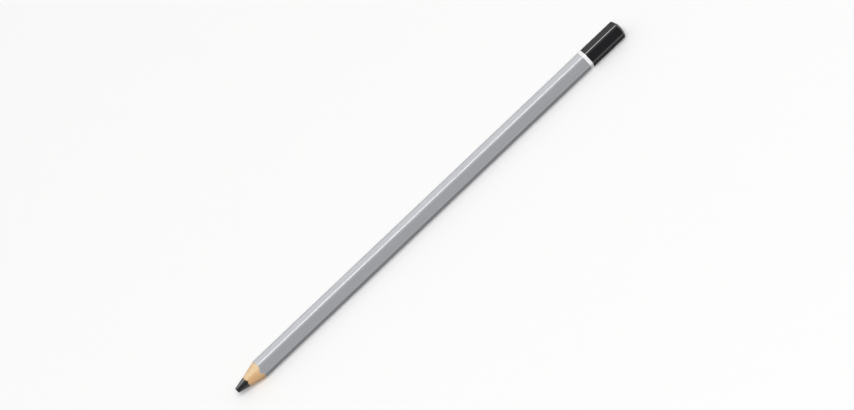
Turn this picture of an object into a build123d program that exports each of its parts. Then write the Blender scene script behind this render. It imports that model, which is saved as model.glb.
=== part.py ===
from build123d import *
import os
from math import asin, degrees, radians, sqrt, tan

# A wood-cased hexagonal marking pencil, lying on one flat.
# The axis runs along X, with the sharpened tip towards -X and the dipped end towards +X.
# The origin is under the middle of the pencil, on the plane that its lowest flat rests on.

# Driving dimensions, in millimetres and degrees
overall_length = 175.0        # blunt tip of the lead to the top of the crown on the dipped end
barrel_across_flats = 6.25    # over the grey lacquer
barrel_corner_radius = 1.10   # over the grey lacquer
primer_thickness = 0.05       # filler coat that seals the wood
lacquer_thickness = 0.07      # grey colour coat over the primer
lead_diameter = 3.60
glue_thickness = 0.06         # in the seam, and between lead and groove
point_angle = 28.6            # full angle of the sharpened wood
lead_angle = 23.4             # full angle of the lead in front of it, which is cut slimmer
tip_diameter = 1.85           # worn flat on the end of the lead
tip_edge_radius = 0.12
white_thickness = 0.05        # first dip, which shows as the white ring
black_thickness = 0.05        # second dip, over the first
cap_length = 15.20            # black dip, from its edge to the top of the crown
ring_width = 1.25             # white left showing in front of the black dip
crown_radius = 6.2            # sphere that the crown is a part of
crown_edge_radius = 0.35      # rounding between the crown and the sides

# Sections: every coat follows the hexagon of the wood under it, round the same corner centres
barrel_growth = primer_thickness + lacquer_thickness
white_growth = barrel_growth + white_thickness
black_growth = white_growth + black_thickness
casing_across_flats = barrel_across_flats - 2 * barrel_growth
casing_corner_radius = barrel_corner_radius - barrel_growth
groove_radius = lead_diameter / 2 + glue_thickness
sharp_corner = barrel_across_flats / sqrt(3)    # beyond every rounded corner of the barrel
corner_centre = 2 / sqrt(3) * (barrel_across_flats / 2 - barrel_corner_radius)
cap_corner = corner_centre + casing_corner_radius + black_growth

# The crown's height, from where its rounding leaves the corners: the lacquer gathered past the wood
rounding_centre_radius = crown_radius - crown_edge_radius
crown_height = crown_radius - sqrt(rounding_centre_radius**2 - (cap_corner - crown_edge_radius) ** 2)
crown_reach = sharp_corner + 2 * (white_thickness + black_thickness)    # beyond the cap's corners
crown_half_angle = degrees(asin(crown_reach / crown_radius))

# Places along the axis, measured back from the tip, and the height of the axis
tip_x = -overall_length / 2
end_x = overall_length / 2
axis_height = casing_across_flats / 2 + black_growth
casing_length = overall_length - crown_height - white_thickness
black_edge = overall_length - cap_length
white_edge = black_edge - ring_width
knee_radius = (lead_diameter + glue_thickness) / 2    # in the glue, where the two cones meet
lead_cone_length = (knee_radius - tip_diameter / 2) / tan(radians(lead_angle / 2))
wood_cone_length = (sharp_corner - knee_radius) / tan(radians(point_angle / 2))


def station(distance):
    """Plane square to the axis, at a distance behind the tip, with its local Y axis upwards."""
    return Plane(origin=(tip_x + distance, 0, axis_height), x_dir=(0, 1, 0), z_dir=(1, 0, 0))


def hexagon(growth):
    """Section of the casing grown by coats of that thickness: flats level, corners at the sides."""
    with BuildSketch() as outline:
        RegularPolygon(casing_across_flats / 2 + growth, 6, major_radius=False)
        fillet(outline.vertices(), casing_corner_radius + growth)
    return outline.sketch


casing_section = hexagon(0)
primer_section = hexagon(primer_thickness)
barrel_section = hexagon(barrel_growth)
white_section = hexagon(white_growth)
black_section = hexagon(black_growth)

os.makedirs("parts", exist_ok=True)

# What the sharpener leaves: a slim cone on the lead, one through wood and coats, and all behind it
with BuildPart() as sharpened_form:
    with BuildSketch(Plane.XZ):
        with BuildLine():
            Polyline(
                (tip_x, axis_height),
                (tip_x, axis_height + tip_diameter / 2),
                (tip_x + lead_cone_length, axis_height + knee_radius),
                (tip_x + lead_cone_length + wood_cone_length, axis_height + sharp_corner),
                (end_x, axis_height + sharp_corner),
                (end_x, axis_height),
                close=True,
            )
        make_face()
    revolve(axis=Axis((0, 0, axis_height), (1, 0, 0)))

# Lead: a round wax core, pointed with the wood and worn flat at the tip
with BuildPart() as lead:
    with BuildSketch(station(0)):
        Circle(lead_diameter / 2)
    extrude(amount=casing_length)
    add(sharpened_form.part, mode=Mode.INTERSECT)
    fillet(lead.edges().filter_by(GeomType.CIRCLE).sort_by(Axis.X)[0], tip_edge_radius)
lead.part.label = "lead"
export_step(lead.part, "parts/lead.step")

# Two grooved slats of wood, whose seam runs through the side corners of the hexagon
for name, side in (("upper_slat", 1), ("lower_slat", -1)):
    with BuildPart() as slat:
        with BuildSketch(station(0)):
            add(casing_section)
            with Locations((0, side * (glue_thickness / 2 + sharp_corner / 2))):
                Rectangle(2 * sharp_corner, sharp_corner, mode=Mode.INTERSECT)
            Circle(groove_radius, mode=Mode.SUBTRACT)
        extrude(amount=casing_length)
        add(sharpened_form.part, mode=Mode.INTERSECT)
    slat.part.label = name
    export_step(slat.part, f"parts/{name}.step")

# Glue: a film in the seam on both sides of the lead, joined by the sleeve that beds the lead
with BuildPart() as glue_film:
    with BuildSketch(station(0)):
        add(casing_section)
        Rectangle(2 * sharp_corner, glue_thickness, mode=Mode.INTERSECT)
        Circle(groove_radius)
        Circle(lead_diameter / 2, mode=Mode.SUBTRACT)
    extrude(amount=casing_length)
    add(sharpened_form.part, mode=Mode.INTERSECT)
glue_film.part.label = "glue_film"
export_step(glue_film.part, "parts/glue_film.step")

# Primer: the filler coat between wood and colour, cut off square with the casing at the back
with BuildPart() as primer_coat:
    with BuildSketch(station(0)):
        add(primer_section)
        add(casing_section, mode=Mode.SUBTRACT)
    extrude(amount=casing_length)
    add(sharpened_form.part, mode=Mode.INTERSECT)
primer_coat.part.label = "primer_coat"
export_step(primer_coat.part, "parts/primer_coat.step")

# Grey lacquer: the colour coat, whose front edge the cone leaves scalloped on the six flats
with BuildPart() as grey_lacquer:
    with BuildSketch(station(0)):
        add(barrel_section)
        add(primer_section, mode=Mode.SUBTRACT)
    extrude(amount=casing_length)
    add(sharpened_form.part, mode=Mode.INTERSECT)
grey_lacquer.part.label = "grey_lacquer"
export_step(grey_lacquer.part, "parts/grey_lacquer.step")

# White dip: a thin cup over the back end, seen only as a ring in front of the black dip
with BuildPart() as white_dip:
    with BuildSketch(station(white_edge)):
        add(white_section)
    extrude(amount=casing_length + white_thickness - white_edge)
    with BuildSketch(station(white_edge)):
        add(barrel_section)
    extrude(amount=casing_length - white_edge, mode=Mode.SUBTRACT)
white_dip.part.label = "white_dip"
export_step(white_dip.part, "parts/white_dip.step")

# What the dip leaves on the end: a crown, and everything in front of it
with BuildPart() as crowned_form:
    with BuildSketch(Plane.XZ):
        with BuildLine():
            crown = CenterArc((end_x - crown_radius, axis_height), crown_radius, 0, crown_half_angle)
            Polyline(
                crown @ 1,
                (tip_x + black_edge, axis_height + crown_reach),
                (tip_x + black_edge, axis_height),
                crown @ 0,
            )
        make_face()
    revolve(axis=Axis((0, 0, axis_height), (1, 0, 0)))

# Black dip: a cup over the white one, with lacquer gathered into a crown on the end
with BuildPart() as black_cap:
    with BuildSketch(station(black_edge)):
        add(black_section)
    extrude(amount=cap_length)
    add(crowned_form.part, mode=Mode.INTERSECT)
    fillet(black_cap.faces().sort_by(Axis.X)[-1].edges(), crown_edge_radius)
    with BuildSketch(station(black_edge)):
        add(white_section)
    extrude(amount=cap_length - crown_height, mode=Mode.SUBTRACT)
black_cap.part.label = "black_cap"
export_step(black_cap.part, "parts/black_cap.step")
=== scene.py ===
import math

import bmesh
import bpy
from mathutils import Matrix, Vector, noise


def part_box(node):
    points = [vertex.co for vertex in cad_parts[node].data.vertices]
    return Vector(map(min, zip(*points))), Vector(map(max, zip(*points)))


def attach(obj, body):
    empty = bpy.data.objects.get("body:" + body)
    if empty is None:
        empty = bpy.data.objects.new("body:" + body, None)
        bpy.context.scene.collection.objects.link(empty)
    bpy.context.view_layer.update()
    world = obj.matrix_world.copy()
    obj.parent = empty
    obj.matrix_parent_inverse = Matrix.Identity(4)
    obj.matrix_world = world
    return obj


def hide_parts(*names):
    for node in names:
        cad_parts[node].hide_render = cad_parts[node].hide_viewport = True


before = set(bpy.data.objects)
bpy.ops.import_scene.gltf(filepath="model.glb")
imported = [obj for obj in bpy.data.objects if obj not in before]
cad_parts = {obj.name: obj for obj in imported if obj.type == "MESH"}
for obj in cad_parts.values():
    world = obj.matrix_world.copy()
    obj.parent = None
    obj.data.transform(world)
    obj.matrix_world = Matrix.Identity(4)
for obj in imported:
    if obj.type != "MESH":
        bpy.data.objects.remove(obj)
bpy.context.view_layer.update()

# The pencil lies along X, tip towards -X, on the flat under it. Lengths are in metres.
MM = 0.001

# Places taken from the frame
barrel_low, barrel_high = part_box("grey_lacquer")
white_low, white_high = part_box("white_dip")
black_low, black_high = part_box("black_cap")
lead_low, lead_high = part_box("lead")
AXIS_Z = (barrel_low.z + barrel_high.z) / 2
TIP_X = lead_low.x
CASING_END_X = lead_high.x
WHITE_EDGE_X = white_low.x
WHITE_END_X = white_high.x
BLACK_EDGE_X = black_low.x
END_X = black_high.x
LEAD_RADIUS = (lead_high.z - lead_low.z) / 2
BARREL_FLAT = (barrel_high.z - barrel_low.z) / 2
WHITE_GROWTH = (white_high.z - white_low.z) / 2 - BARREL_FLAT
BLACK_GROWTH = (black_high.z - black_low.z) / 2 - BARREL_FLAT

# Sizes that the boxes don't give, as the solids have them
CORNER_RADIUS = 1.10 * MM       # over the grey lacquer
LACQUER = 0.07 * MM
PRIMER = 0.05 * MM
GLUE = 0.06 * MM
TIP_RADIUS = 0.925 * MM
TIP_EDGE = 0.12 * MM
LEAD_SLOPE = math.radians(11.7)
WOOD_SLOPE = math.radians(14.3)
CROWN_RADIUS = 6.2 * MM
CROWN_EDGE = 0.35 * MM
GROOVE_RADIUS = LEAD_RADIUS + GLUE
KNEE_RADIUS = LEAD_RADIUS + GLUE / 2    # where the lead's cone meets the wood's
KNEE_X = TIP_X + (KNEE_RADIUS - TIP_RADIUS) / math.tan(LEAD_SLOPE)
CASING_GROWTH = -(LACQUER + PRIMER)
CORNER_CENTRE = 2 / math.sqrt(3) * (BARREL_FLAT - CORNER_RADIUS)

# Small irregularities of the real thing. A noise has a seed and a pace, and is finer at a higher pace.
RAGGED_EDGE = 0.10 * MM         # how far the cut edge of the lacquer is chipped back
RAGGED_COARSE = (3.1, 2.3)
RAGGED_FINE = (8.4, 11.0)
COARSE_SHARE = 0.62
TORN_ROUNDING = 0.10 * MM       # softness where a torn edge runs into the cone's cut
FEATHER_EDGE = 0.01 * MM        # wood broken off at the lead, least
FEATHER_CHIP = 0.08 * MM        # and this much more in places
FEATHER_NOISE = (5.7, 3.4)
NOTCH_DEPTH = 0.40 * MM         # one larger chip on the side that faces the camera
NOTCH_TURN = math.radians(146)
NOTCH_WIDTH = math.radians(9)

# Lacquer torn off in front on each flat: the torn edge runs from one corner to the next through
# (share of the way, how far behind the foremost point of the cut). The flats follow each other
# from the upper one at the back over the top to the front and round underneath.
TORN = (
    ((0.0, 0.35 * MM), (1.0, 0.75 * MM)),
    ((0.0, 1.15 * MM), (1.0, 1.42 * MM)),
    ((0.0, 1.50 * MM), (0.22, 1.20 * MM), (0.62, 0.22 * MM), (1.0, -0.50 * MM)),
    ((0.0, 1.10 * MM), (1.0, 1.30 * MM)),
    ((0.0, 0.20 * MM), (0.6, 0.65 * MM), (1.0, 0.30 * MM)),
    ((0.0, 0.70 * MM), (1.0, 0.05 * MM)),
)
CUT_DEPTH = 0.012 * MM          # blade marks round the cone
CUT_PITCH = 0.42 * MM
CUT_FADE = 0.5 * MM             # length over which they fade out at the cone's two ends
CUT_LEVEL = 0.5                 # shares of the depth: everywhere, by the wave and by chance
CUT_WAVE = 0.3
CUT_CHANCE = 0.2
CHANCE_PACE = 1.7 / MM
WAVE_SHIFT = 2.0                # by chance, in radians
DEEPER_SIDE_TURN = math.radians(228)  # direction round the axis towards the side where the wood's tone is deeper; the opposite side is paler
DIP_WAVE = 0.035 * MM           # unevenness of the dips' edges
DIP_PACE = 1.6
WHITE_SEED = 2.2
BLACK_SEED = 6.6
DIP_BEAD = 0.16 * MM            # length over which a dip's edge thins out

# Steps in the meshes, and the places of rings of points: shares of the length from front to back,
# on the tip's flat shares of its radius, or distances where a unit is given
FLAT_STEPS = 12
CORNER_STEPS = 8
CONE_STEPS = 84
LEAD_TURNS = 120
TIP_RINGS = (0.2, 0.4, 0.6, 0.75)
TIP_EDGE_STEPS = 6
ROD_RINGS = (0.6 * MM, 4 * MM)  # behind the lead's cone
SLAT_RINGS = (0.004, 0.03, 0.12, 0.35, 0.7, 1.0)
COAT_RINGS = (0.0, 0.0012, 0.004, 0.012, 0.04, 0.12, 0.3, 0.6, 1.0)
DIP_INNER_RINGS = (0.6, 0.2)
GLUE_STEPS = 10
BEAD_STEPS = 6
CROWN_STEPS = 10
SIDE_RINGS = (3.0 * MM, 0.4 * MM)   # in front of the crown's rounding

SIXTH = math.radians(60)        # from one corner of the hexagon to the next


def cone_radius(x):
    """Radius of the sharpened point at a place along the axis."""
    slope = LEAD_SLOPE if x < KNEE_X else WOOD_SLOPE
    return KNEE_RADIUS + (x - KNEE_X) * math.tan(slope)


def cone_x(radius):
    """Place along the axis where the sharpened point has that radius."""
    slope = LEAD_SLOPE if radius < KNEE_RADIUS else WOOD_SLOPE
    return KNEE_X + (radius - KNEE_RADIUS) / math.tan(slope)


def radial(turn):
    """Direction across the axis at a turn round it, from +Y over the top."""
    return Vector((math.cos(turn), math.sin(turn)))


def outline():
    """Arc centres and outward normals round the hexagon, from the +Y corner over the top."""
    spots = []
    for corner in range(6):
        turn = SIXTH * corner
        spine = radial(turn) * CORNER_CENTRE
        following = radial(turn + SIXTH) * CORNER_CENTRE
        for step in range(CORNER_STEPS + 1):
            spots.append((spine, radial(turn + SIXTH * (step / CORNER_STEPS - 0.5))))
        for step in range(1, FLAT_STEPS):
            spots.append((spine.lerp(following, step / FLAT_STEPS), radial(turn + SIXTH / 2)))
    half = CORNER_STEPS // 2
    return spots[half:] + spots[:half]


OUTLINE = outline()
SPOTS = len(OUTLINE)


def section(growth):
    """The barrel's section grown by a coat, as points across the axis."""
    return [spine + normal * (CORNER_RADIUS + growth) for spine, normal in OUTLINE]


TURNS = [math.atan2(spot.y, spot.x) for spot in section(0.0)]


def place(x, across):
    """A point of the model from its place along the axis and across it."""
    return (x, across.x, AXIS_Z + across.y)


def unevenness(turn, seed, pace):
    """Smooth noise from 0 to 1 that closes round the axis."""
    spot = Vector((math.cos(turn) * pace, math.sin(turn) * pace, seed))
    return min(1.0, max(0.0, 0.5 + 0.75 * noise.noise(spot)))


def torn_back(flat, share):
    """How far the torn edge on a flat stands behind the foremost point of the cut."""
    for (start, first), (end, second) in zip(TORN[flat], TORN[flat][1:]):
        if share <= end:
            break
    return first + (second - first) * (share - start) / (end - start)


def cut_edge(across, chip):
    """Front edge of a coat at a point of its section: the cone's cut, a torn edge and small chips."""
    turn = math.atan2(across.y, across.x) % (2 * math.pi)
    flat = min(5, int(turn / SIXTH))
    aside = turn - SIXTH * (flat + 0.5)
    share = 0.5 + math.tan(aside) / (2 * math.tan(SIXTH / 2))
    torn = cone_x(across.length * math.cos(aside)) + torn_back(flat, share)
    cut = cone_x(across.length)
    edge = (cut + torn + math.hypot(cut - torn, TORN_ROUNDING)) / 2
    coarse = unevenness(turn, *RAGGED_COARSE)
    fine = unevenness(turn, *RAGGED_FINE)
    return edge + chip * RAGGED_EDGE * (COARSE_SHARE * coarse + (1 - COARSE_SHARE) * fine)


def feather(turn):
    """How far the wood's thin front edge is broken back from the lead."""
    gap = (turn - NOTCH_TURN + math.pi) % (2 * math.pi) - math.pi
    notch = NOTCH_DEPTH * math.exp(-((gap / NOTCH_WIDTH) ** 2))
    return FEATHER_EDGE + FEATHER_CHIP * unevenness(turn, *FEATHER_NOISE) ** 2 + notch


def blade_mark(x, turn, start, end):
    """Depth of the marks a sharpener's blade leaves round the cone, none at its two ends."""
    fade = min(1.0, max(0.0, x - start) / CUT_FADE, max(0.0, end - x) / CUT_FADE)
    phase = 2 * math.pi * x / CUT_PITCH + turn
    chance = noise.noise(Vector((x * CHANCE_PACE, math.cos(turn), math.sin(turn))))
    depth = CUT_LEVEL + CUT_WAVE * math.sin(phase + WAVE_SHIFT * chance) + CUT_CHANCE * chance
    return -CUT_DEPTH * fade * depth


def lattice(faces, first, rows, columns):
    """Quads between closed rows of points that were stored one after the other."""
    for row in range(rows - 1):
        low = first + row * columns
        high = low + columns
        for column in range(columns):
            beside = (column + 1) % columns
            faces.append((low + column, low + beside, high + beside, high + column))


def make_piece(name, points, faces, node_name, material, sharp=35):
    """A closed mesh that stands for one node of the frame."""
    mesh = bpy.data.meshes.new(name)
    mesh.from_pydata(points, [], faces)
    work = bmesh.new()
    work.from_mesh(mesh)
    bmesh.ops.recalc_face_normals(work, faces=work.faces)
    work.to_mesh(mesh)
    work.free()
    mesh.shade_smooth()
    mesh.set_sharp_from_angle(angle=math.radians(sharp))
    mesh.materials.append(material)
    piece = bpy.data.objects.new(name, mesh)
    bpy.context.collection.objects.link(piece)
    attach(piece, "root")
    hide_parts(node_name)
    return piece


# Materials

def add(tree, kind, inputs=(), **settings):
    """A node with its settings made and its sockets filled or linked."""
    made = tree.nodes.new(kind)
    for key, value in settings.items():
        setattr(made, key, value)
    for key, value in dict(inputs).items():
        if isinstance(value, bpy.types.NodeSocket):
            tree.links.new(value, made.inputs[key])
        else:
            made.inputs[key].default_value = value
    return made


def new_material(name, **constants):
    """A material with a Principled shader whose constant sockets are set directly."""
    material = bpy.data.materials.new(name)
    material.use_nodes = True
    shader = material.node_tree.nodes["Principled BSDF"]
    for key, value in constants.items():
        shader.inputs[key.replace("_", " ")].default_value = value
    return material, material.node_tree, shader


def millimetres(tree, stretch=(1, 1, 1), shift=(0, 0, 0)):
    """The object's own coordinates in millimetres, stretched for a pattern."""
    coordinates = add(tree, "ShaderNodeTexCoord").outputs["Object"]
    scale = [value / MM for value in stretch]
    mapping = add(tree, "ShaderNodeMapping", {"Vector": coordinates, "Scale": scale, "Location": shift})
    return mapping.outputs["Vector"]


def noise_of(tree, vector, scale=1.0, detail=2.0, roughness=0.5, distortion=0.0):
    """Noise value over a vector."""
    made = add(tree, "ShaderNodeTexNoise", {
        "Vector": vector, "Scale": scale, "Detail": detail,
        "Roughness": roughness, "Distortion": distortion,
    })
    return made.outputs["Fac"]


def spread(tree, value, low, high, start=0.3, end=0.7):
    """A value between start and end, spread over low to high."""
    made = add(tree, "ShaderNodeMapRange", {
        "Value": value, "From Min": start, "From Max": end, "To Min": low, "To Max": high,
    })
    return made.outputs["Result"]


def colours(tree, value, *stops):
    """A colour ramp over a value, from (place, colour) stops."""
    made = add(tree, "ShaderNodeValToRGB", {"Fac": value})
    ramp = made.color_ramp.elements
    while len(ramp) < len(stops):
        ramp.new(0.5)
    for element, (position, colour) in zip(ramp, stops):
        element.position = position
        element.color = (*colour, 1.0)
    return made.outputs["Color"]


def blended(tree, share, first, second, mode="MIX"):
    """Two colours mixed by a share. The node's colour sockets are 6 and 7, and 2 on its way out."""
    inputs = {0: share, 6: first, 7: second}
    return add(tree, "ShaderNodeMix", inputs, data_type="RGBA", blend_type=mode).outputs[2]


def raised(tree, height, distance, under=None):
    """Bump from a height value, over another bump where there is one."""
    inputs = {"Height": height, "Distance": distance, "Strength": 1.0}
    if under:
        inputs["Normal"] = under
    return add(tree, "ShaderNodeBump", inputs).outputs["Normal"]


def grey_lacquer_material():
    """Silver-grey lacquer: fine flake in a satin film, drawn out along the barrel."""
    material, tree, shader = new_material("grey_lacquer_finish", Metallic=0.30)
    flake = noise_of(tree, millimetres(tree), scale=7.0, detail=1.0)
    drawn = noise_of(tree, millimetres(tree, (0.035, 2.6, 2.6)), detail=3.0, roughness=0.6)
    cloud = noise_of(tree, millimetres(tree, (0.11, 0.5, 0.5)), detail=2.0)
    grain = colours(tree, flake, (0.3, (0.425, 0.437, 0.458)), (0.7, (0.477, 0.489, 0.512)))
    streak = colours(tree, drawn, (0.3, (0.94, 0.94, 0.945)), (0.7, (1.0, 1.0, 1.0)))
    tree.links.new(blended(tree, 1.0, grain, streak, "MULTIPLY"), shader.inputs["Base Color"])
    tree.links.new(spread(tree, cloud, 0.31, 0.36), shader.inputs["Roughness"])
    fine = raised(tree, flake, 0.004 * MM)
    tree.links.new(raised(tree, drawn, 0.006 * MM, under=fine), shader.inputs["Normal"])
    return material


def white_lacquer_material():
    """Glossy white dip, slightly wavy."""
    material, tree, shader = new_material("white_lacquer_finish", Coat_Weight=0.2)
    wave = noise_of(tree, millimetres(tree), scale=1.4, detail=2.0)
    tone = colours(tree, wave, (0.3, (0.86, 0.86, 0.875)), (0.7, (0.90, 0.90, 0.915)))
    tree.links.new(tone, shader.inputs["Base Color"])
    tree.links.new(spread(tree, wave, 0.14, 0.20), shader.inputs["Roughness"])
    tree.links.new(raised(tree, wave, 0.008 * MM), shader.inputs["Normal"])
    return material


def black_lacquer_material():
    """Glossy black dip, with the faint waves of a thick lacquer and a little dust."""
    material, tree, shader = new_material("black_lacquer_finish", Specular_IOR_Level=1.0)
    wave = noise_of(tree, millimetres(tree, (0.5, 1.2, 1.2)), detail=1.5)
    dust = noise_of(tree, millimetres(tree), scale=5.0, detail=3.0, roughness=0.7)
    tone = colours(tree, dust, (0.45, (0.0030, 0.0028, 0.0042)), (0.75, (0.008, 0.0077, 0.0095)))
    tree.links.new(tone, shader.inputs["Base Color"])
    tree.links.new(spread(tree, dust, 0.05, 0.09), shader.inputs["Roughness"])
    tree.links.new(raised(tree, wave, 0.010 * MM), shader.inputs["Normal"])
    return material


def toward_deeper_side(tree):
    """Distance in millimetres from a plane through the axis, towards the side where the wood's tone is
    deeper.
    """
    spot = add(tree, "ShaderNodeTexCoord").outputs["Object"]
    middle = add(tree, "ShaderNodeVectorMath", {0: spot, 1: (0.0, 0.0, AXIS_Z)}, operation="SUBTRACT")
    facing = (0.0, math.cos(DEEPER_SIDE_TURN) / MM, math.sin(DEEPER_SIDE_TURN) / MM)
    reach = add(tree, "ShaderNodeVectorMath", {0: middle.outputs[0], 1: facing}, operation="DOT_PRODUCT")
    return reach.outputs["Value"]


def wood_material(name, pale, tan, deep, shift):
    """Bare softwood: paler on the upper back side and deeper on the lower front, with bands, fibres and
    pores along the slat.
    """
    material, tree, shader = new_material(name, Specular_IOR_Level=0.25)
    band_space = millimetres(tree, (0.05, 0.42, 0.46), shift)
    wander = noise_of(tree, band_space, scale=1.0, detail=2.5, roughness=0.55, distortion=0.4)
    # the wood's tone turns from paler on the upper back side to deeper on the lower front, across a
    # plane through the axis
    side_tone = spread(tree, toward_deeper_side(tree), -0.22, 0.22, -0.9, 0.9)
    bands = add(tree, "ShaderNodeMath", {0: wander, 1: side_tone}, operation="ADD").outputs[0]
    fibre = noise_of(tree, millimetres(tree, (0.10, 5.5, 5.5), shift), detail=4.0, roughness=0.65)
    pores = noise_of(tree, millimetres(tree, (0.55, 9.0, 9.0), shift), detail=2.0)
    tone = colours(tree, bands, (0.30, pale), (0.52, tan), (0.72, deep))
    shade = colours(tree, fibre, (0.30, (0.86, 0.81, 0.74)), (0.62, (1.0, 1.0, 1.0)))
    streaked = blended(tree, 1.0, tone, shade, "MULTIPLY")
    hollow = spread(tree, pores, 0.0, 0.32, 0.62, 0.74)
    darker = blended(tree, hollow, streaked, (0.36, 0.20, 0.09, 1.0))
    tree.links.new(darker, shader.inputs["Base Color"])
    tree.links.new(spread(tree, fibre, 0.62, 0.50), shader.inputs["Roughness"])
    rough = raised(tree, fibre, 0.020 * MM)
    tree.links.new(raised(tree, pores, -0.015 * MM, under=rough), shader.inputs["Normal"])
    return material


def lead_material():
    """Dark wax lead, cut to a dull sheen, with scrape lines round the cone."""
    material, tree, shader = new_material("lead_finish", Specular_IOR_Level=0.85)
    scrape = noise_of(tree, millimetres(tree, (4.5, 0.6, 0.6)), detail=3.0, roughness=0.6)
    mottle = noise_of(tree, millimetres(tree), scale=2.2, detail=3.0)
    tone = colours(tree, mottle, (0.3, (0.003, 0.003, 0.004)), (0.7, (0.008, 0.008, 0.010)))
    tree.links.new(tone, shader.inputs["Base Color"])
    tree.links.new(spread(tree, scrape, 0.27, 0.40), shader.inputs["Roughness"])
    tree.links.new(raised(tree, scrape, 0.010 * MM), shader.inputs["Normal"])
    return material


def glue_material():
    """Dried wood glue, amber and uneven."""
    material, tree, shader = new_material("glue_finish")
    clot = noise_of(tree, millimetres(tree), scale=3.0, detail=3.0)
    tone = colours(tree, clot, (0.3, (0.40, 0.25, 0.11)), (0.7, (0.55, 0.38, 0.19)))
    tree.links.new(tone, shader.inputs["Base Color"])
    tree.links.new(spread(tree, clot, 0.35, 0.55), shader.inputs["Roughness"])
    tree.links.new(raised(tree, clot, 0.008 * MM), shader.inputs["Normal"])
    return material


def primer_material():
    """Matt grey filler under the lacquer."""
    material, tree, shader = new_material("primer_finish")
    grit = noise_of(tree, millimetres(tree), scale=8.0, detail=2.0)
    tone = colours(tree, grit, (0.3, (0.40, 0.39, 0.38)), (0.7, (0.50, 0.49, 0.48)))
    tree.links.new(tone, shader.inputs["Base Color"])
    tree.links.new(spread(tree, grit, 0.60, 0.75), shader.inputs["Roughness"])
    tree.links.new(raised(tree, grit, 0.006 * MM), shader.inputs["Normal"])
    return material


# Lead

def lead_piece():
    """The wax core: worn tip, rounded rim, scraped cone and the rod hidden in the wood."""
    cone_end = cone_x(LEAD_RADIUS)
    turn_of_edge = math.pi / 2 - LEAD_SLOPE
    setback = TIP_EDGE * math.tan(turn_of_edge / 2)
    centre = (TIP_X + TIP_EDGE, TIP_RADIUS - setback)
    profile = [(TIP_X, TIP_RADIUS * share) for share in TIP_RINGS]
    for step in range(TIP_EDGE_STEPS + 1):
        swing = math.pi - turn_of_edge * step / TIP_EDGE_STEPS
        profile.append((centre[0] + TIP_EDGE * math.cos(swing), centre[1] + TIP_EDGE * math.sin(swing)))
    cone_start = profile[-1][0]
    steps = CONE_STEPS // 2
    for step in range(1, steps + 1):
        x = cone_start + (cone_end - cone_start) * step / steps
        profile.append((x, cone_radius(x)))
    rod = [cone_end + back for back in ROD_RINGS] + [0.0, CASING_END_X]
    profile += [(x, LEAD_RADIUS) for x in rod]
    points = [(TIP_X, 0.0, AXIS_Z)]
    for x, radius in profile:
        for step in range(LEAD_TURNS):
            turn = 2 * math.pi * step / LEAD_TURNS
            mark = blade_mark(x, turn, cone_start, cone_end) if x > cone_start else 0.0
            points.append(place(x, radial(turn) * (radius + mark)))
    back = len(points)
    points.append((CASING_END_X, 0.0, AXIS_Z))
    faces = []
    lattice(faces, 1, len(profile), LEAD_TURNS)
    for step in range(LEAD_TURNS):
        beside = (step + 1) % LEAD_TURNS
        faces.append((0, 1 + step, 1 + beside))
        faces.append((back, back - LEAD_TURNS + beside, back - LEAD_TURNS + step))
    return make_piece("lead_core", points, faces, "lead", lead_material(), sharp=60)


# Wood

def slat_point(across, radius, level):
    """The point at a radius in line with a point of the section, or at a level on the glued face."""
    if level is None:
        return across.normalized() * radius
    return Vector((math.copysign(math.sqrt(radius**2 - level**2), across.x), level))


def slat_piece(name, node_name, first, side, material):
    """Half the casing: cone, six-sided back, groove for the lead and the glued faces."""
    casing = section(CASING_GROWTH)
    count = SPOTS // 2 + 1
    groove_front = cone_x(GROOVE_RADIUS)
    outer = []
    inner = []
    for step in range(count):
        across = casing[(first + step) % SPOTS]
        level = side * GLUE / 2 if step in (0, count - 1) else None
        turn = math.atan2(across.y, across.x)
        shoulder = cone_x(across.length)
        front = groove_front + feather(turn)
        outside = []
        for cut in range(CONE_STEPS + 1):
            x = front + (shoulder - front) * cut / CONE_STEPS
            mark = blade_mark(x, turn, front, shoulder)
            outside.append((x, slat_point(across, cone_radius(x) + mark, level)))
        side_point = slat_point(across, across.length, level)
        for share in SLAT_RINGS:
            outside.append((shoulder + (CASING_END_X - shoulder) * share, side_point))
        groove = slat_point(across, GROOVE_RADIUS, level)
        outer.append(outside)
        inner.append([(x, groove) for x, _ in outside])
    loop = outer + inner[::-1]
    rows = len(outer[0])
    points = [place(*column[row]) for row in range(rows) for column in loop]
    faces = []
    lattice(faces, 0, rows, len(loop))
    for row in (0, rows - 1):
        low = row * len(loop)
        for step in range(count - 1):
            faces.append((
                low + step, low + step + 1,
                low + len(loop) - 2 - step, low + len(loop) - 1 - step,
            ))
    return make_piece(name, points, faces, node_name, material)


# Glue

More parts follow.
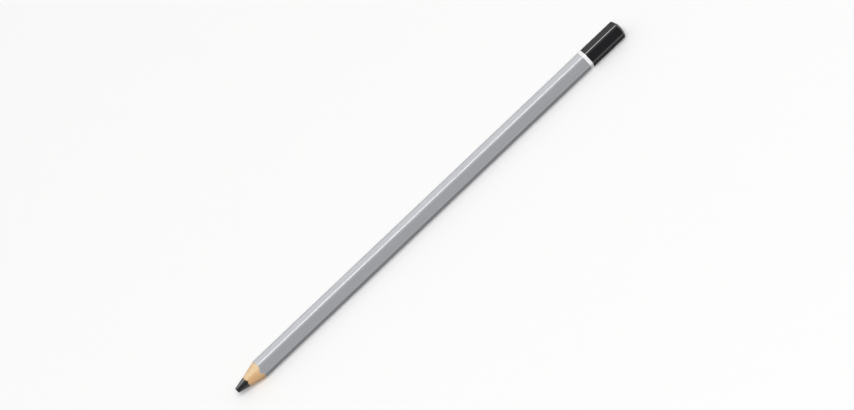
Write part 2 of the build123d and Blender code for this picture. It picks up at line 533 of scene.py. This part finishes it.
def glue_piece():
    """The sleeve that beds the lead, and the two films in the seam beside it."""
    points = []
    sleeve = ((GROOVE_RADIUS, False), (GROOVE_RADIUS, True), (LEAD_RADIUS, True), (LEAD_RADIUS, False))
    for radius, back in sleeve:
        for step in range(LEAD_TURNS):
            turn = 2 * math.pi * step / LEAD_TURNS
            x = CASING_END_X if back else cone_x(radius) + feather(turn)
            points.append(place(x, radial(turn) * radius))
    faces = []
    lattice(faces, 0, len(sleeve), LEAD_TURNS)
    inner_front = (len(sleeve) - 1) * LEAD_TURNS
    for step in range(LEAD_TURNS):
        beside = (step + 1) % LEAD_TURNS
        faces.append((step, inner_front + step, inner_front + beside, beside))
    reach = CORNER_CENTRE + CORNER_RADIUS + CASING_GROWTH
    for side in (-1, 1):
        first = len(points)
        for step in range(GLUE_STEPS + 1):
            out = GROOVE_RADIUS + (reach - GROOVE_RADIUS) * step / GLUE_STEPS
            front = cone_x(out) + FEATHER_EDGE
            for x, level in ((front, 1), (CASING_END_X, 1), (CASING_END_X, -1), (front, -1)):
                points.append(place(x, Vector((side * out, level * GLUE / 2))))
        lattice(faces, first, GLUE_STEPS + 1, 4)
        last = first + 4 * GLUE_STEPS
        faces.append((first, first + 1, first + 2, first + 3))
        faces.append((last + 3, last + 2, last + 1, last))
    return make_piece("glue_line", points, faces, "glue_film", glue_material())


# Coats

def coat_piece(name, node_name, inner_growth, outer_growth, chip, material):
    """A coat on the barrel, cut off by the cone in front and square at the back."""
    rings = []
    for growth, shares in ((outer_growth, COAT_RINGS), (inner_growth, COAT_RINGS[::-1])):
        spots = section(growth)
        fronts = [cut_edge(spot, chip) for spot in spots]
        for share in shares:
            rings.append([
                place(x + (CASING_END_X - x) * share, spot) for x, spot in zip(fronts, spots)
            ])
    points = [point for side_tone in rings for point in side_tone]
    faces = []
    lattice(faces, 0, len(rings), SPOTS)
    last = (len(rings) - 1) * SPOTS
    for step in range(SPOTS):
        beside = (step + 1) % SPOTS
        faces.append((last + step, last + beside, beside, step))
    return make_piece(name, points, faces, node_name, material)


# Dips

def dip_piece(name, node_name, edge_x, under, growth, floor_x, end_rings, seed, material):
    """A cup of lacquer over the back end: beaded edge, sides, end and the hollow inside."""
    edges = [edge_x + DIP_WAVE * unevenness(turn, seed, DIP_PACE) for turn in TURNS]
    inside = section(under)
    rings = [[place(floor_x, spot) for spot in inside]]
    for share in DIP_INNER_RINGS:
        rings.append([
            place(edge + (floor_x - edge) * share, spot) for edge, spot in zip(edges, inside)
        ])
    for step in range(BEAD_STEPS + 1):
        swing = math.pi / 2 * step / BEAD_STEPS
        level = under + (growth - under) * math.sin(swing)
        back = DIP_BEAD * (1 - math.cos(swing))
        rings.append([place(edge + back, spot) for edge, spot in zip(edges, section(level))])
    rings += end_rings
    points = [point for side_tone in rings for point in side_tone]
    bottom = len(points)
    points.append((floor_x, 0.0, AXIS_Z))
    points.append((max(point[0] for point in points), 0.0, AXIS_Z))
    faces = []
    lattice(faces, 0, len(rings), SPOTS)
    last = (len(rings) - 1) * SPOTS
    for step in range(SPOTS):
        beside = (step + 1) % SPOTS
        faces.append((bottom, beside, step))
        faces.append((bottom + 1, last + step, last + beside))
    return make_piece(name, points, faces, node_name, material, sharp=50)


def white_end():
    """The white cup's square end, hidden in the black one."""
    return [[place(WHITE_END_X, spot) for spot in section(WHITE_GROWTH)]]


def slerp(first, second, share):
    """Turn from one direction towards another by a share of the angle between them."""
    return first.normalized().slerp(second.normalized(), share)


def black_end():
    """The black cup's sides, the rounding over its edge and the crown on its end."""
    centre_x = END_X - CROWN_RADIUS
    columns = []
    for spine, normal in OUTLINE:
        rolling = spine + normal * (CORNER_RADIUS + BLACK_GROWTH - CROWN_EDGE)
        rise = math.sqrt((CROWN_RADIUS - CROWN_EDGE) ** 2 - rolling.length_squared)
        ball = Vector((centre_x + rise, rolling.x, rolling.y))
        sideways = Vector((0.0, normal.x, normal.y))
        upwards = Vector((rise, rolling.x, rolling.y)).normalized()
        side = ball + sideways * CROWN_EDGE
        column = [side - Vector((ahead, 0, 0)) for ahead in SIDE_RINGS]
        for step in range(CROWN_STEPS + 1):
            column.append(ball + slerp(sideways, upwards, step / CROWN_STEPS) * CROWN_EDGE)
        for step in range(1, CROWN_STEPS):
            outward = slerp(upwards, Vector((1, 0, 0)), step / CROWN_STEPS)
            column.append(Vector((centre_x, 0, 0)) + outward * CROWN_RADIUS)
        columns.append(column)
    rows = len(columns[0])
    return [[(c[row].x, c[row].y, AXIS_Z + c[row].z) for c in columns] for row in range(rows)]


# The pieces, from the inside outwards
lead_piece()
slat_piece("slat_above", "upper_slat", first=0, side=1, material=wood_material(
    "wood_above", pale=(0.84, 0.63, 0.390), tan=(0.80, 0.545, 0.305), deep=(0.74, 0.465, 0.24),
    shift=(0.0, 0.0, 0.0),
))
slat_piece("slat_below", "lower_slat", first=SPOTS // 2, side=-1, material=wood_material(
    "wood_below", pale=(0.845, 0.615, 0.367), tan=(0.815, 0.545, 0.300), deep=(0.76, 0.475, 0.243),
    shift=(4.0, 9.0, 2.0),
))
glue_piece()
coat_piece(
    "primer_film", "primer_coat", inner_growth=CASING_GROWTH, outer_growth=-LACQUER,
    chip=0.6, material=primer_material(),
)
coat_piece(
    "lacquer_film", "grey_lacquer", inner_growth=-LACQUER, outer_growth=0.0,
    chip=1.0, material=grey_lacquer_material(),
)
dip_piece(
    "white_ring", "white_dip", edge_x=WHITE_EDGE_X, under=0.0, growth=WHITE_GROWTH,
    floor_x=CASING_END_X, end_rings=white_end(), seed=WHITE_SEED, material=white_lacquer_material(),
)
dip_piece(
    "black_end", "black_cap", edge_x=BLACK_EDGE_X, under=WHITE_GROWTH, growth=BLACK_GROWTH,
    floor_x=WHITE_END_X, end_rings=black_end(), seed=BLACK_SEED, material=black_lacquer_material(),
)

# Floor: a plain pale ground under the pencil, which takes its shadow
FLOOR_HALF = 6.0
FLOOR_DROP = 0.02 * MM              # clear of the flat that rests on it
FLOOR_TONE = (0.925, 0.925, 0.925, 1.0)

floor_mesh = bpy.data.meshes.new("floor")
floor_mesh.from_pydata(
    [(x * FLOOR_HALF, y * FLOOR_HALF, -FLOOR_DROP) for x, y in ((-1, -1), (1, -1), (1, 1), (-1, 1))],
    [], [(0, 1, 2, 3)],
)
floor = bpy.data.objects.new("floor", floor_mesh)
bpy.context.collection.objects.link(floor)

floor_material = bpy.data.materials.new("floor_finish")
floor_material.use_nodes = True
tree = floor_material.node_tree
tree.nodes.clear()
matt = add(tree, "ShaderNodeBsdfDiffuse", {"Color": FLOOR_TONE})
add(tree, "ShaderNodeOutputMaterial", {"Surface": matt.outputs[0]})
floor_mesh.materials.append(floor_material)
# Only the camera sees the floor: reflections and bounced light see the room's lower half instead
floor.visible_diffuse = False
floor.visible_glossy = False
floor.visible_shadow = False

# Light: a broad soft key in front for the dull part of the finishes, a strip above and behind
# for their gloss, and a room that is pale in front and dim under the pencil
KEY_TURN = math.radians(59)         # round the axis, up from the horizon in front
KEY_DISTANCE = 6.0
KEY_SIZE = (4.8, 4.8)
KEY_POWER = 282.0
STRIP_TURN = math.radians(117)
STRIP_DISTANCE = 1.2
STRIP_SIZE = (1.3, 0.50)
STRIP_POWER = 12.0
STRIP_SHIFT = -0.15                 # towards the tip


def soft_light(name, turn, distance, size, power, shift):
    """An area light that faces the pencil from a turn round its axis."""
    lamp = bpy.data.lights.new(name, "AREA")
    lamp.shape = "RECTANGLE"
    lamp.size, lamp.size_y = size
    lamp.energy = power
    light = bpy.data.objects.new(name, lamp)
    bpy.context.collection.objects.link(light)
    outward = Vector((0.0, -math.cos(turn), math.sin(turn)))
    square = Vector((0.0, math.sin(turn), math.cos(turn)))
    turned = Matrix((Vector((1, 0, 0)), square, outward)).transposed().to_4x4()
    light.matrix_world = Matrix.Translation(outward * distance + Vector((shift, 0, 0))) @ turned
    light.visible_camera = False
    return light


key = soft_light("key", KEY_TURN, KEY_DISTANCE, KEY_SIZE, KEY_POWER, 0.0)
key.visible_glossy = False
strip = soft_light("strip", STRIP_TURN, STRIP_DISTANCE, STRIP_SIZE, STRIP_POWER, STRIP_SHIFT)
strip.visible_diffuse = False

# The room's light by its height round the axis, in degrees up from the horizon in front
ROOM = (
    (-180, 0.50), (-150, 0.10), (-85, 0.10), (-65, 0.80), (-45, 1.00), (-25, 0.75), (-8, 0.17),
    (20, 0.16), (45, 0.30), (75, 0.50), (139, 0.55), (180, 0.50),
)

# Its level beyond the dipped end, where the crown looks, and the X parts of a direction between which
# the room changes over to it
END_LEVEL = 0.60
END_REACH = (0.25, 0.60)
ROOM_TINT = (1.0, 0.995, 0.99, 1.0)

world = bpy.data.worlds.new("room")
bpy.context.scene.world = world
world.use_nodes = True
tree = world.node_tree
room = tree.nodes["Background"]
room.inputs["Color"].default_value = ROOM_TINT
direction = add(tree, "ShaderNodeTexCoord").outputs["Generated"]
parts = add(tree, "ShaderNodeSeparateXYZ", {0: direction})
front = add(tree, "ShaderNodeMath", {0: parts.outputs["Y"], 1: -1.0}, operation="MULTIPLY")
height = add(tree, "ShaderNodeMath", {0: parts.outputs["Z"], 1: front.outputs[0]}, operation="ARCTAN2")
share = spread(tree, height.outputs[0], 0.0, 1.0, -math.pi, math.pi)
levels = colours(tree, share, *[((turn + 180) / 360, (level,) * 3) for turn, level in ROOM])
ahead = spread(tree, parts.outputs["X"], 0.0, 1.0, *END_REACH)
strength = blended(tree, ahead, levels, (END_LEVEL,) * 3 + (1.0,))
tree.links.new(strength, room.inputs["Strength"])

# Camera, at the photograph's angle and framing
VIEW_RISE = math.radians(41)        # height of the view, square to the axis
VIEW_SWING = math.radians(5.5)      # tip a little nearer than the dipped end
VIEW_ROLL = math.radians(43.5)      # slope of the axis in the picture
VIEW_DISTANCE = 2.5
SENSOR_WIDTH = 36.0                 # in millimetres, as is the focal length
IMAGE_WIDTH = 854                   # in pixels, as are the next three
PENCIL_PIXELS = 528.45              # length of the pencil in the picture
MIDDLE_RIGHT = 2.25                 # pencil's middle, from the picture's centre
MIDDLE_DOWN = 3.25

towards_camera = Vector((
    -math.sin(VIEW_SWING),
    -math.cos(VIEW_SWING) * math.cos(VIEW_RISE),
    math.cos(VIEW_SWING) * math.sin(VIEW_RISE),
))
along = (Vector((1, 0, 0)) - towards_camera * towards_camera.x).normalized()
aside = towards_camera.cross(along)
right = along * math.cos(VIEW_ROLL) - aside * math.sin(VIEW_ROLL)
upward = along * math.sin(VIEW_ROLL) + aside * math.cos(VIEW_ROLL)
pixel = (END_X - TIP_X) * math.cos(VIEW_SWING) / PENCIL_PIXELS
middle = Vector(((TIP_X + END_X) / 2, 0.0, AXIS_Z))
aim = middle - right * MIDDLE_RIGHT * pixel + upward * MIDDLE_DOWN * pixel

camera_data = bpy.data.cameras.new("camera")
camera_data.sensor_width = SENSOR_WIDTH
camera_data.lens = SENSOR_WIDTH * VIEW_DISTANCE / (pixel * IMAGE_WIDTH)
camera = bpy.data.objects.new("camera", camera_data)
bpy.context.collection.objects.link(camera)
stance = Matrix((right, upward, towards_camera)).transposed().to_4x4()
camera.matrix_world = Matrix.Translation(aim + towards_camera * VIEW_DISTANCE) @ stance
bpy.context.scene.camera = camera
bpy.context.scene.view_settings.view_transform = "Standard"
